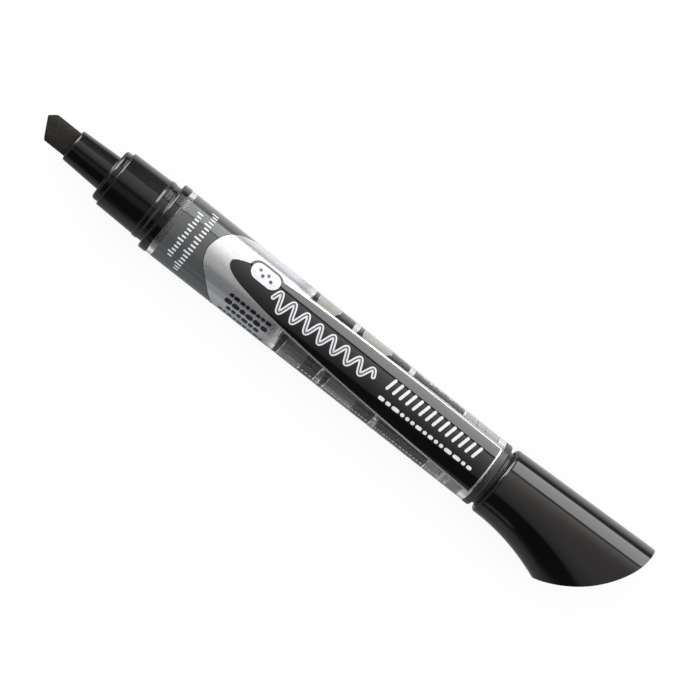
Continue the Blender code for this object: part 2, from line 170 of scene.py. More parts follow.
def finish(name, look):
    material = bpy.data.materials.new(name)
    material.use_nodes = True
    nodes, links = material.node_tree.nodes, material.node_tree.links
    shader = nodes["Principled BSDF"]
    shader.inputs["Metallic"].default_value = look.get("metallic", 0.0)
    shader.inputs["IOR"].default_value = look.get("ior", 1.5)
    shader.inputs["Transmission Weight"].default_value = look.get("clear", 0.0)
    shader.inputs["Specular IOR Level"].default_value = look.get("specular", 0.5)
    coords = nodes.new("ShaderNodeTexCoord")

    def grain(size, detail, stretch=1.0):
        mapping = nodes.new("ShaderNodeMapping")
        mapping.inputs["Scale"].default_value = (1 / stretch, 1, 1)
        links.new(coords.outputs["Object"], mapping.inputs["Vector"])
        texture = nodes.new("ShaderNodeTexNoise")
        texture.inputs["Scale"].default_value = 1 / (size * mm)
        texture.inputs["Detail"].default_value = detail
        links.new(mapping.outputs["Vector"], texture.inputs["Vector"])
        return texture.outputs["Fac"]

    def ranged(value, low, high, fromLow=0.3, fromHigh=0.7):
        node = nodes.new("ShaderNodeMapRange")
        node.inputs["From Min"].default_value = fromLow
        node.inputs["From Max"].default_value = fromHigh
        node.inputs["To Min"].default_value = low
        node.inputs["To Max"].default_value = high
        links.new(value, node.inputs["Value"])
        return node.outputs["Result"]

    mottle = grain(look.get("mottleSize", 4.0), 4.0, look.get("mottleStretch", 1.0))
    mix = nodes.new("ShaderNodeMix")
    mix.data_type = "RGBA"
    mix.inputs["A"].default_value = (*look["colour"], 1)
    mix.inputs["B"].default_value = (*look.get("shade", look["colour"]), 1)
    links.new(ranged(mottle, 0, 1), mix.inputs["Factor"])
    colour = mix.outputs["Result"]
    fine = grain(look.get("grainSize", 0.25), 3.0, look.get("stretch", 1.0))
    if "speck" in look:
        specks = nodes.new("ShaderNodeMix")
        specks.data_type = "RGBA"
        links.new(ranged(fine, 0, 1, 0.52, 0.72), specks.inputs["Factor"])
        links.new(colour, specks.inputs["A"])
        specks.inputs["B"].default_value = (*look["speck"], 1)
        colour = specks.outputs["Result"]
    links.new(colour, shader.inputs["Base Color"])
    smooth, rough = look["roughness"]
    # fine scratches along the marker, only where it's been handled most
    wear = look.get("wear", scratch["roughness"])
    scratches = grain(scratch["size"], 2.0, scratch["stretch"])
    scratches = ranged(scratches, 0, wear, scratch["from"], scratch["to"])
    handled = grain(handling["size"], 2.0, handling["stretch"])
    handled = ranged(handled, 0, 1, handling["from"], handling["to"])
    worn = nodes.new("ShaderNodeMath")
    worn.operation = "MULTIPLY_ADD"
    links.new(scratches, worn.inputs[0])
    links.new(handled, worn.inputs[1])
    links.new(ranged(mottle, smooth, rough), worn.inputs[2])
    links.new(worn.outputs[0], shader.inputs["Roughness"])
    strength = look.get("bump", plainBump)
    if strength > 0:
        bump = nodes.new("ShaderNodeBump")
        bump.inputs["Strength"].default_value = strength
        bump.inputs["Distance"].default_value = look.get("depth", 0.01) * mm
        links.new(fine, bump.inputs["Height"])
        links.new(bump.outputs["Normal"], shader.inputs["Normal"])
    if "fade" in look:
        # the print thins out along the marker, from the first station to the second
        axis = nodes.new("ShaderNodeSeparateXYZ")
        links.new(coords.outputs["Object"], axis.inputs["Vector"])
        first, last = (tipX + s * mm for s in look["fade"])
        links.new(ranged(axis.outputs["X"], 1, 0, first, last), shader.inputs["Alpha"])
    return material


blackPlastic = finish("moulded black", {
    "colour": (0.0022, 0.0020, 0.0019),
    "shade": (0.0032, 0.0029, 0.0028),
    "roughness": (0.07, 0.12),
    "mottleSize": 6.0,
    "mottleStretch": 3.0,
    "grainSize": 0.5,
    "bump": 0.08,
    "depth": 0.003,
})
satinPlastic = finish("satin black", {
    "colour": (0.015, 0.0142, 0.0150),
    "shade": (0.021, 0.0200, 0.0210),
    "roughness": (0.30, 0.38),
    "mottleSize": 3.0,
    "grainSize": 0.3,
    "bump": 0.12,
    "depth": 0.005,
})
clearPlastic = finish("clear barrel", {
    "colour": (0.97, 0.97, 0.96),
    "shade": (0.94, 0.945, 0.935),
    "roughness": (0.0, 0.015),
    "clear": 1.0,
    "wear": 0.02,
    "ior": 1.48,
    "bump": 0.0,
})
felt = finish("inked felt", {
    "colour": (0.0135, 0.0125, 0.0105),
    "shade": (0.0200, 0.0185, 0.0160),
    "speck": (0.036, 0.033, 0.029),
    "roughness": (0.75, 0.95),
    "mottleSize": 0.8,
    "mottleStretch": 4.0,
    "grainSize": 0.13,
    "stretch": 5.0,
    "bump": 0.8,
    "depth": 0.05,
    "specular": 0.15,
})
bandPrint = finish("grey film", {
    "colour": (0.080, 0.087, 0.085),
    "shade": (0.070, 0.076, 0.075),
    "roughness": (0.06, 0.10),
    "mottleSize": 9.0,
    "bump": 0.04,
    "depth": 0.003,
})
silverLook = {
    "colour": (0.60, 0.61, 0.63),
    "shade": (0.55, 0.56, 0.58),
    "metallic": 0.75,
    "roughness": (0.20, 0.26),
    "mottleSize": 7.0,
    "mottleStretch": 4.0,
    "grainSize": 0.12,
    "bump": 0.08,
    "depth": 0.004,
}
silverPrint = finish("silver film", silverLook)
silverFade = finish("silver film, thinning", {**silverLook, "bump": 0.0, "fade": (53.2, 57.0)})
panelPrint = finish("black film", {
    "colour": (0.0030, 0.0026, 0.0023),
    "shade": (0.0046, 0.0041, 0.0038),
    "roughness": (0.05, 0.08),
    "mottleSize": 8.0,
    "mottleStretch": 3.0,
    "grainSize": 0.4,
    "bump": 0.05,
    "depth": 0.003,
})
whitePrint = finish("white ink", {
    "colour": (0.78, 0.79, 0.85),
    "shade": (0.66, 0.67, 0.73),
    "roughness": (0.25, 0.35),
    "mottleSize": 1.2,
    "bump": 0.05,
})
darkPrint = finish("dark ink", {
    "colour": (0.006, 0.006, 0.007),
    "shade": (0.012, 0.012, 0.013),
    "roughness": (0.20, 0.30),
    "mottleSize": 1.2,
    "bump": 0.05,
})
regulatorPlastic = finish("ink-wet regulator", {
    "colour": (0.012, 0.012, 0.0125),
    "shade": (0.026, 0.026, 0.027),
    "roughness": (0.25, 0.45),
    "mottleSize": 0.9,
    "grainSize": 0.2,
    "bump": 0.3,
    "depth": 0.02,
})
rubber = finish("soft black rubber", {
    "colour": (0.008, 0.008, 0.008),
    "shade": (0.014, 0.014, 0.014),
    "roughness": (0.45, 0.60),
    "mottleSize": 1.0,
    "grainSize": 0.1,
    "bump": 0.2,
    "depth": 0.01,
})
naturalPlastic = finish("natural plastic", {
    "colour": (0.74, 0.72, 0.67),
    "shade": (0.64, 0.62, 0.58),
    "roughness": (0.30, 0.42),
    "mottleSize": 2.0,
    "bump": 0.1,
    "depth": 0.01,
})
wickFibre = finish("wick fibre", {
    "colour": (0.16, 0.155, 0.15),
    "shade": (0.05, 0.05, 0.05),
    "speck": (0.30, 0.29, 0.28),
    "roughness": (0.8, 0.95),
    "mottleSize": 3.0,
    "mottleStretch": 3.0,
    "grainSize": 0.15,
    "stretch": 6.0,
    "bump": 0.6,
    "depth": 0.04,
})
# the pale lining's plastic made darker, for the bore's low side: painted shade
shadedLining = finish("lining, painted shade", {
    "colour": (0.36, 0.355, 0.35),
    "shade": (0.24, 0.24, 0.24),
    "roughness": (0.25, 0.35),
    "mottleSize": 1.6,
    "mottleStretch": 2.0,
    "bump": 0.1,
    "depth": 0.01,
})
wetInk = finish("thin ink", {
    "colour": (0.050, 0.052, 0.060),
    "shade": (0.090, 0.091, 0.098),
    "roughness": (0.10, 0.20),
    "mottleSize": 1.1,
    "mottleStretch": 3.0,
    "bump": 0.1,
    "depth": 0.01,
})
print("finishes ready")

nib = {
    "halfWidth": 2.57,
    "halfDepth": 1.9,
    "tipSide": 1.44,
    "slantEnd": 2.1,
    "bevelEnd": 1.3,
    "face": (0.0, 0.35, 0.7, 0.86),  # rings on the cut face, as shares of the outline
    "soft": 0.22,
    "softInset": 0.1,
    "softSteps": 5,
    "flank": (0.5, 1.0, 1.6, 2.4, 3.4, 4.6, 5.8, 7.5, 12.0),  # rings behind the cut face
    "squareBy": 9.0,  # how far back the slant has died away
    "worn": 0.012,
    "wornTo": 7,
    "around": 96,
}


def nibFront(side):
    # where the cut front lies, for a point this far to the tall side of the axis
    if side > nib["tipSide"]:
        return nib["bevelEnd"] * (side - nib["tipSide"]) / (nib["halfWidth"] - nib["tipSide"])
    return nib["slantEnd"] * (nib["tipSide"] - side) / (nib["tipSide"] + nib["halfWidth"])


def makeNib():
    shape = bmesh.new()
    rand = random.Random(4)
    rings = []
    straight = nib["halfWidth"] - nib["halfDepth"]
    # from the middle of the cut face out to its soft edge, then back along the flanks
    profile = [(size, 0.0) for size in nib["face"]]
    for k in range(nib["softSteps"] + 1):
        a = math.pi / 2 * k / nib["softSteps"]
        inset = nib["softInset"] * (1 - math.sin(a))
        profile.append((1 - inset, nib["soft"] * (1 - math.cos(a))))
    profile += [(1.0, back) for back in nib["flank"]]
    for size, back in profile:
        ring = []
        for k in range(nib["around"]):
            a = 2 * math.pi * k / nib["around"]
            side = size * (nib["halfDepth"] * math.sin(a) + math.copysign(straight, math.sin(a)))
            depth = size * nib["halfDepth"] * math.cos(a)
            settle = min(1.0, back / nib["squareBy"])
            front = nibFront(side) * (1 - settle) + nib["slantEnd"] * settle
            worn = 0.0
            if size > 0 and back < nib["wornTo"]:
                worn = rand.uniform(-nib["worn"], nib["worn"])
            x = tipX + (front + back + worn) * mm
            y = axisY + side * mm * (1 + worn * 0.3)
            ring.append(shape.verts.new((x, y, axisZ + depth * mm * (1 + worn))))
        rings.append(ring)
    for lower, upper in zip(rings, rings[1:]):
        for k in range(nib["around"]):
            n = (k + 1) % nib["around"]
            shape.faces.new((lower[k], lower[n], upper[n], upper[k]))
    shape.faces.new(rings[-1])
    bmesh.ops.remove_doubles(shape, verts=shape.verts, dist=1e-7)
    return dress(meshObject("felt_nib", shape, 50), markerBody, felt, ["chisel_nib"])


sleeve = {
    "mouth": 6.7,
    "mouthRadius": 3.18,
    "neckRadius": 3.57,
    "shoulder": 15.0,
    "shoulderRadius": 5.27,
    "shoulderEnd": 16.36,
    "end": 22.0,
    "fitRadius": 4.65,
    "boreRadius": 2.75,
    "throat": 7.9,
    "throatRadius": 2.62,
}


def makeSleeve():
    h = sleeve
    corners = [
        (h["end"], h["boreRadius"], 0.0),
        (h["end"], h["fitRadius"], 0.2),
        (h["shoulderEnd"], h["fitRadius"], 0.0),
        (h["shoulderEnd"], h["shoulderRadius"], 0.08),
        (h["shoulder"], h["shoulderRadius"], 0.62),
        (h["shoulder"], h["neckRadius"], 0.12),
        (h["mouth"], h["mouthRadius"], 0.38),
        (h["mouth"], h["boreRadius"], 0.08),
        (h["throat"], h["throatRadius"], 0.0),
    ]
    body = spin("nib_sleeve", corners, 128)
    dress(body, markerBody, blackPlastic, ["nib_holder"])


collar = {
    "start": 16.4,
    "frontRadius": 5.73,
    "beadStart": 24.6,
    "beadEnd": 26.0,
    "beadSlope": 0.35,
    "beadRadius": 6.10,
    "beforeBead": 5.92,
    "rearRadius": 5.96,
    "flange": 26.9,
    "flangeEnd": 28.62,
    "flangeRadius": 7.0,
    "spigotEnd": 34.5,
    "spigotGap": 0.04,
    "frontBore": 4.9,
    "webFront": 24.0,
    "webRear": 25.6,
    "webHole": 2.6,
    "rearBore": 4.6,
}


def makeCollar():
    c = collar
    spigot = boreRadius(31) - c["spigotGap"]
    corners = [
        (c["spigotEnd"], spigot, 0.3),
        (c["flangeEnd"], spigot, 0.0),
        (c["flangeEnd"], c["flangeRadius"], 0.12),
        (c["flange"], c["flangeRadius"], 0.42),
        (c["flange"], c["rearRadius"], 0.15),
        (c["beadEnd"], c["rearRadius"], 0.15),
        (c["beadEnd"] - c["beadSlope"], c["beadRadius"], 0.22),
        (c["beadStart"] + c["beadSlope"], c["beadRadius"], 0.22),
        (c["beadStart"], c["beforeBead"], 0.2),
        (c["start"], c["frontRadius"], 0.32),
        (c["start"], c["frontBore"], 0.0),
        (c["webFront"], c["frontBore"], 0.0),
        (c["webFront"], c["webHole"], 0.0),
        (c["webRear"], c["webHole"], 0.0),
        (c["webRear"], c["rearBore"], 0.0),
        (c["spigotEnd"], c["rearBore"], 0.2),
    ]
    body = spin("front_collar", corners, 160, 4)
    dress(body, markerBody, blackPlastic, ["front_section"])


def makeBarrel():
    b = barrel
    corners = [
        (b["end"], boreRadius(b["end"]), 0.05),
        (b["end"], b["rearRadius"], 0.14),
        (b["start"], b["frontRadius"], 0.14),
        (b["start"], boreRadius(b["start"]), 0.05),
    ]
    body = spin("clear_barrel", corners, b["turns"], 4)
    dress(body, markerBody, clearPlastic, ["barrel_tube"])


makeNib()
makeSleeve()
makeCollar()
makeBarrel()
print("writing end and barrel made")

# Thin inked areas, on the barrel for the label and on the bore for the linings, the painted shade
# on their low side and what the ink leaves behind.
wrap = {"radius": 6.8, "step": 2.5, "thick": 0.02}
arcPerDegree = math.radians(1) * wrap["radius"]


def film(name, loops, material, lift, base=barrelRadius):
    # flat outlines in (station, angle), filled, bent round the barrel and given a little thickness
    shape = bmesh.new()
    for loop in loops:
        points = [Vector((s, deg * arcPerDegree, 0)) for s, deg in loop]
        verts = [shape.verts.new(p) for p in points]
        for tri in tessellate_polygon([points]):
            shape.faces.new([verts[i] for i in tri])
    bmesh.ops.remove_doubles(shape, verts=shape.verts, dist=1e-5)
    arcs = [v.co.y for v in shape.verts]
    gap = wrap["step"] * arcPerDegree
    for k in range(math.ceil(min(arcs) / gap), math.floor(max(arcs) / gap) + 1):
        geom = shape.verts[:] + shape.edges[:] + shape.faces[:]
        across = (0, k * gap, 0)
        bmesh.ops.bisect_plane(shape, geom=geom, dist=1e-5, plane_co=across, plane_no=(0, 1, 0))
    bmesh.ops.dissolve_degenerate(shape, edges=shape.edges, dist=1e-6)
    bmesh.ops.recalc_face_normals(shape, faces=shape.faces)
    made = bmesh.ops.extrude_face_region(shape, geom=shape.faces[:], use_keep_orig=True)
    for item in made["geom"]:
        if isinstance(item, bmesh.types.BMVert):
            item.co.z = 1
    for v in shape.verts:
        s, arc, raised = v.co
        v.co = spot(s, base(s) + lift + wrap["thick"] * raised, arc / arcPerDegree)
    return dress(meshObject(name, shape, 40), markerBody, material)


# Inside the barrel. A wet comb touches the bore, so it shows right out to the barrel's edge.
combs = {
    "front": {"node": "regulator_front", "start": 59.0, "comb": 63.1, "end": 66.35,
              "wetTop": 90, "wetLow": 92},
    "middle": {"node": "regulator_middle", "start": 69.2, "comb": 74.9, "end": 79.1,
               "wetTop": 86, "wetLow": 90},
    "rear": {"node": "regulator_rear", "start": 80.25, "comb": 80.25, "end": 91.6,
             "wetTop": 83, "wetLow": 88},
}
comb = {
    "core": 2.6,
    "hole": 1.8,
    "pitch": 0.42,
    "groove": 0.022,
    "finStart": 0.2,  # shares of the pitch
    "finEnd": 0.9,
    "wet": 0.03,
    "dry": 0.10,
    "ragged": 9,
    "stem": 1.5,
    "flare": (0.95, 0.55, 1.6),  # where the stem flares out before the comb, and by how much
}
funnel = {"radius": 5.3, "skin": 0.35, "gap": 0.05, "neck": 3.0, "cone": 1.5, "lip": 0.2}


def makeFunnel(label, first):
    # the pale funnel that feeds a comb, open towards the nib
    f = funnel
    inner, outer = comb["core"] + f["gap"], comb["core"] + f["skin"]
    corners = [
        (first + f["neck"], inner, 0.0),
        (first + f["neck"], outer, 0.1),
        (first + f["cone"] + f["lip"], outer, 0.2),
        (first + f["lip"], f["radius"], 0.1),
        (first, f["radius"], 0.0),
        (first, f["radius"] - f["skin"], 0.1),
        (first + f["cone"], inner, 0.2),
    ]
    body = spin("funnel_" + label, corners, 96, 3)
    dress(body, markerBody, naturalPlastic)


def makeComb(label, c):
    rand = random.Random(label)
    count = round((c["end"] - c["comb"]) / comb["pitch"])
    pitch = (c["end"] - c["comb"]) / count
    top = [c["wetTop"] + comb["ragged"] * (rand.random() - 0.35) for _ in range(count + 1)]
    low = [c["wetLow"] + comb["ragged"] * (rand.random() - 0.5) for _ in range(count + 1)]

    def ragged(s, deg):
        # past these angles the ink doesn't bridge the gap to the bore
        k = min(count, max(0, int((s - c["comb"] + 0.01) / pitch)))
        side = (deg + 180) % 360 - 180
        dry = top[k] < side < 180 - top[k] or -180 + low[k] < side < -low[k]
        return -comb["wet"] - comb["dry"] if dry and s > c["comb"] - 0.01 else 0.0

    corners = [(c["end"], comb["hole"], 0.0)]
    for k in reversed(range(count)):
        s = c["comb"] + pitch * k
        r = boreRadius(s) + comb["wet"]
        corners.append((s + pitch, r - comb["groove"], 0.0))
        corners.append((s + pitch * comb["finEnd"], r, 0.0))
        corners.append((s + pitch * comb["finStart"], r, 0.0))
        corners.append((s, r - comb["groove"], 0.0))
    hasStem = c["comb"] > c["start"]
    if hasStem:
        narrow, wide, flare = comb["flare"]
        corners.append((c["comb"] - wide, comb["core"] + flare, 0.0))
        corners.append((c["comb"] - narrow, comb["core"], 0.0))
        corners.append((c["start"] + comb["stem"], comb["core"], 0.0))
        corners.append((c["start"] + comb["stem"], comb["hole"], 0.0))
    else:
        corners.append((c["start"], comb["hole"], 0.0))
    body = spin("comb_" + label, corners, 144, 3, 25, ragged)
    dress(body, markerBody, regulatorPlastic, [c["node"]])
    if hasStem:
        makeFunnel(label, c["start"])


chamberRing = {"hole": 1.9, "press": 0.02, "soft": 0.12}


def makeSeal(label, node, start, end):
    r = boreRadius(start) + chamberRing["press"]
    hole, soft = chamberRing["hole"], chamberRing["soft"]
    corners = [(end, hole, 0.0), (end, r, soft), (start, r, soft), (start, hole, 0.0)]
    body = spin("chamber_ring_" + label, corners, 96, 3)
    dress(body, markerBody, rubber, [node])


tailCup = {
    "rearLip": 99.7,
    "frontLip": 94.9,
    "lipRadius": boreRadius(97) - 0.02,
    "waist": 5.75,
    "waistEnds": (96.3, 98.6),
    "hollow": [(96.4, 0.0, 0.0), (96.0, 4.9, 0.3), (99.6, 5.3, 0.1)],
    "dish": [(95.7, 2.5, 1.0), (95.8, 0.0, 0.0)],
}


def makeTailSeal():
    c = tailCup
    first, last = c["waistEnds"]
    corners = c["hollow"] + [
        (c["rearLip"], c["lipRadius"], 0.15),
        (last, c["waist"], 0.2),
        (first, c["waist"], 0.2),
        (c["frontLip"], c["lipRadius"] + 0.05, 0.15),
    ] + c["dish"]
    body = spin("tail_cup", corners, 96, 3)
    dress(body, markerBody, naturalPlastic, ["tail_seal"])


# Linings and ink marks on the bore, as (first station, last station, first angle, last angle). The
# low side's linings are the pale lining darkened: painted shade.
boreMarks = {
    "pale": [
        (58.4, 62.95, 44, 114), (68.65, 74.8, 44, 114), (92.0, 94.55, 44, 112),
        (94.85, 96.4, 44, 112), (96.75, 99.3, 44, 112),
    ],
    # painted shade: the lining on the low side, darker than the pale lining above
    "paintedShade": [
        (58.4, 63.0, -112, -62), (68.65, 74.85, -112, -62), (66.5, 67.4, -112, -66),
        (79.2, 80.15, -112, -66), (91.8, 94.6, -112, -30), (94.9, 96.45, -112, -30),
        (96.8, 99.35, -112, -30),
    ],
    "ink": [
        (58.4, 63.0, -62, -24), (68.65, 74.85, -62, -24), (66.55, 67.35, -60, -40),
        (58.4, 63.0, -114, -82), (68.65, 74.85, -114, -82),
    ],
    "rings": [
        (94.62, 94.80, 40, 114), (94.68, 94.84, -114, -28), (96.50, 96.66, 40, 114),
        (99.38, 99.56, 40, 114), (96.54, 96.68, -114, -28), (99.42, 99.60, -114, -28),
    ],
    "wedges": [
        [(62.2, 50), (63.2, 50), (63.2, 71), (62.95, 68)],
        [(73.6, 50), (75.0, 50), (75.0, 70), (74.6, 66)],
    ],
    "proud": 0.006,
    "inkOver": 0.004,
    "ringsOver": 0.008,
}


def patch(box, rand, ragged):
    # a lined or inked area whose long edges wander a little
    first, last, low, high = box
    steps = max(2, round((last - first) / 0.25))
    stations = [first + (last - first) * k / steps for k in range(steps + 1)]
    loop = [(s, low + ragged * rand.uniform(-1, 1)) for s in stations]
    return loop + [(s, high + ragged * rand.uniform(-1, 1)) for s in reversed(stations)]


def makeBoreMarks():
    rand = random.Random(11)
    m = boreMarks
    inside = -wrap["thick"] + m["proud"]
    pale = [patch(box, rand, 0) for box in m["pale"]]
    film("chamber_lining", pale, naturalPlastic, inside, boreRadius)
    # the low side's linings, darker than the pale ones above: painted shade
    paintedShade = [patch(box, rand, 0) for box in m["paintedShade"]]
    film("lining_painted_shade", paintedShade, shadedLining, inside, boreRadius)
    ink = [patch(box, rand, 1.0) for box in m["ink"]]
    film("ink_film", ink, wetInk, inside + m["inkOver"], boreRadius)
    dark = [patch(box, rand, 0) for box in m["rings"]] + m["wedges"]
    film("ink_rings", dark, regulatorPlastic, inside + m["ringsOver"], boreRadius)


for which, chamber in combs.items():
    makeComb(which, chamber)
makeSeal("front", "chamber_seal_front", 57.25, 58.3)
makeSeal("middle", "chamber_seal_middle", 67.5, 68.55)
makeTailSeal()
makeBoreMarks()

# The hidden inner pieces keep their own solids and only get their finishes.
hidden = {
    "feed_wick": (wickFibre, "wick_fibre"),
    "wick_grommet": (rubber, "black_rubber"),
    "front_seal_ring": (rubber, "black_rubber"),
    "front_collector": (naturalPlastic, "natural_plastic"),
    "cap_liner": (naturalPlastic, "natural_plastic"),
}
for node, (material, slotName) in hidden.items():
    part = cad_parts[node]
    part.data.materials.clear()
    part.data.materials.append(material)
    part.data.shade_smooth()
    part.data.set_sharp_from_angle(angle=math.radians(35))
print("inner pieces made")

# The post's outline is (station, how far past the post's radius, fillet), from its free end.
plug = {
    "start": 101.22,
    "end": 102.62,
    "radius": 6.61,
    "postRadius": 5.64,
    "post": [
        (114.0, -0.3, 0.9),
        (109.3, -0.08, 0.2),  # snap ring
        (108.7, 0.18, 0.15),
        (107.9, 0.18, 0.15),
        (107.3, 0.0, 0.2),
        (103.62, 0.0, 0.04),  # groove
        (103.56, -0.1, 0.03),
        (103.36, -0.1, 0.03),
        (103.3, 0.0, 0.04),
        (103.07, 0.0, 0.04),  # step against the collar
        (103.02, 0.1, 0.03),
        (102.82, 0.1, 0.03),
        (102.62, 0.05, 0.05),
    ],
    "bore": [(101.22, 4.4, 0.1), (112.8, 4.0, 0.6), (112.8, 0.0, 0.0)],
    "spigotStart": 99.6,
    "spigotEnd": 101.2,
    "spigotRadius": boreRadius(100.5) - 0.05,
    "spigotWall": 1.2,
}


def makePlug():
    p = plug
    corners = [(p["post"][0][0], 0.0, 0.0)]
    corners += [(s, p["postRadius"] + past, fillet) for s, past, fillet in p["post"]]
    corners += [(p["end"], p["radius"], 0.42), (p["start"], p["radius"] + 0.02, 0.1)]
    body = spin("tail_plug", corners + p["bore"], 144, 4)
    dress(body, markerBody, satinPlastic, ["rear_plug"])
    outer = p["spigotRadius"]
    inner = outer - p["spigotWall"]
    corners = [
        (p["spigotEnd"], inner, 0.1),
        (p["spigotEnd"], outer, 0.0),
        (p["spigotStart"], outer, 0.15),
        (p["spigotStart"], inner, 0.1),
    ]
    dress(spin("tail_spigot", corners, 128, 3), markerBody, naturalPlastic)


makePlug()

cap = {
    "mouth": 103.5,
    "mouthRadius": 6.85,
    "lip": 0.62,
    "lipSteps": 6,
    "topSlope": 0.0388,
    "heelStart": 1.6,
    "heelCurve": 0.0130,
    "endCentre": 106.87,
    "endRise": 7.34,
    "endLength": 27.6,
    "endHeight": 19.3,
    "endPast": 10,  # the curved end is never nearer the mouth than this
    "flat": 0.7,
    "flatSide": -0.8,
    "flatAbove": 10.2,
    "flatBelow": 8.4,
    "flank": 7.0,
    "flankGrowth": 0.020,
    "flankSoft": 48,  # the higher, the sharper the flank's flat ends
    "bore": [(103.5, 6.32), (103.75, 6.1), (104.1, 6.1), (112.0, 6.02), (122.6, 5.9),
             (123.0, 5.2), (123.6, 3.9), (126.0, 3.45), (128.4, 3.0), (129.4, 2.2),
             (129.9, 1.2), (130.0, 0.0)],
    "rimSoft": 0.28,
    "rimPast": 12,
    "rimOut": 4,
    "rimAngle": 0.5,
    "around": 120,
    "along": 64,
}


def capReach(s, a):
    # how far the skin stands from the axis plane at this station, above or below
    past = max(0.0, s - cap["mouth"])
    if math.sin(a) > 0:
        return cap["mouthRadius"] + cap["topSlope"] * past
    return cap["mouthRadius"] + cap["heelCurve"] * max(0.0, past - cap["heelStart"]) ** 2


def capPoint(s, a, inset=0.0):
    past = max(0.0, s - cap["mouth"])
    depth = (cap["mouthRadius"] + cap["flankGrowth"] * past - inset) * math.cos(a)
    soft = cap["flankSoft"]
    depth = depth / (1 + (abs(depth) / cap["flank"]) ** soft) ** (1 / soft)
    return depth, (capReach(s, a) - inset) * math.sin(a)


def capEnd(a):
    # the station where the skin meets the curved end, found by halving
    low, high = cap["mouth"], cap["endCentre"] + cap["endLength"]
    for _ in range(40):
        s = (low + high) / 2
        side = capPoint(s, a)[1]
        # the end is a little flatter than its ellipse, most of all near the axis
        away = side - cap["flatSide"]
        reach = cap["flatAbove"] if away > 0 else cap["flatBelow"]
        flat = cap["flat"] * max(0.0, 1 - (away / reach) ** 2)
        inside = ((s + flat - cap["endCentre"]) / cap["endLength"]) ** 2
        inside += ((side - cap["endRise"]) / cap["endHeight"]) ** 2
        if inside < 1 or s < cap["mouth"] + cap["endPast"]:
            low = s
        else:
            high = s
    return low


def capVertex(shape, s, depth, side):
    return shape.verts.new((tipX + s * mm, axisY + side * mm, axisZ + depth * mm))


def makeCap():
    c = cap
    shape = bmesh.new()
    angles = [2 * math.pi * (k + 0.5) / c["around"] for k in range(c["around"])]
    ends = [capEnd(a) for a in angles]
    rings = []
    for k in range(c["lipSteps"]):
        turn = math.pi / 2 * k / c["lipSteps"]
        s = c["mouth"] + c["lip"] * (1 - math.cos(turn))
        inset = c["lip"] * (1 - math.sin(turn))
        rings.append([capVertex(shape, s, *capPoint(s, a, inset)) for a in angles])
    first = c["mouth"] + c["lip"]
    for k in range(c["along"] + 1):
        share = k / c["along"]
        ring = []
        for a, end in zip(angles, ends):
            s = first + (end - first) * share
            ring.append(capVertex(shape, s, *capPoint(s, a)))
        rings.append(ring)
    inner = []
    for s, r in c["bore"]:
        inner.append([capVertex(shape, s, r * math.cos(a), r * math.sin(a)) for a in angles])
    rows = list(reversed(inner)) + rings
    for lower, upper in zip(rows, rows[1:]):
        for k in range(c["around"]):
            n = (k + 1) % c["around"]
            shape.faces.new((lower[k], lower[n], upper[n], upper[k]))
    # the curved end: strips straight across its depth, each between two mirrored rim points
    rim = rings[-1]
    count = c["around"]
    half = count // 2
    for k in range(count // 4, count // 4 + half - 1):
        near, far = rim[k % count], rim[(k + 1) % count]
        farMirror = rim[(half - 2 - k) % count]
        nearMirror = rim[(half - 1 - k) % count]
        shape.faces.new((near, far, farMirror, nearMirror))
    bmesh.ops.remove_doubles(shape, verts=shape.verts, dist=1e-7)
    bmesh.ops.recalc_face_normals(shape, faces=shape.faces)

    def onRim(edge):
        if len(edge.link_faces) != 2 or edge.calc_face_angle(0) <= c["rimAngle"]:
            return False
        x, y, z = edge.verts[0].co
        out = math.hypot(y - axisY, z - axisZ)
        return (x - tipX) / mm > c["mouth"] + c["rimPast"] and out > c["rimOut"] * mm

    rimEdges = [edge for edge in shape.edges if onRim(edge)]
    bmesh.ops.bevel(shape, geom=rimEdges, offset=c["rimSoft"] * mm, segments=4, profile=0.5,
                    affect="EDGES", clamp_overlap=True)
    body = meshObject("cap_body", shape, 40)
    dress(body, capBody, blackPlastic, ["cap_shell"])


makeCap()
print("tail plug and cap made")


# The printed wrap. Outlines are (station, angle) points; each layer lies a little above the last.
layer = {"base": 0.03, "edge": 0.055, "panel": 0.075, "rim": 0.081, "ink": 0.10, "over": 0.125}
label = {
    "start": 29.82,
    "end": 100.72,
    "swoosh": [(-80, 43.75), (-68.7, 42.85), (-50.4, 41.35), (-31.9, 39.50), (-18.2, 37.95),
               (-3.8, 37.10), (5.0, 36.86), (12.6, 36.90), (28.0, 37.42), (48.6, 38.85),
               (62.0, 40.35), (79.2, 42.75), (100, 43.75)],  # (angle, station)
    "nose": (41.68, 12.6),
    "noseLength": 9.0,
    "upper": [(41.78, 15.0), (42.32, 18.6), (43.57, 23.9), (44.75, 27.6), (47.6, 32.6),
              (51.26, 37.2), (57.16, 41.5), (64.87, 44.6), (70.0, 45.6), (83.71, 47.9),
              (101.0, 48.2)],
    "lower": [(41.8, 7.0), (42.49, 1.2), (44.27, -5.2), (46.94, -10.2), (51.93, -16.4),
              (57.11, -20.8), (63.54, -25.3), (68.2, -28.3), (78.42, -33.9), (88.67, -38.8),
              (101.0, -43.2)],
    "upperLine": [(50.0, 3.4), (72.0, 4.2), (82.0, 6.8), (101.0, 7.6)],
    "lowerLine": 3.7,
    "edgeLine": 0.14,
    "clearFrom": 52.8,
    "fadeEnd": 57.2,
    "tailLine": {"first": 100.67, "last": 100.94, "low": -41.8, "high": 47.2},
}


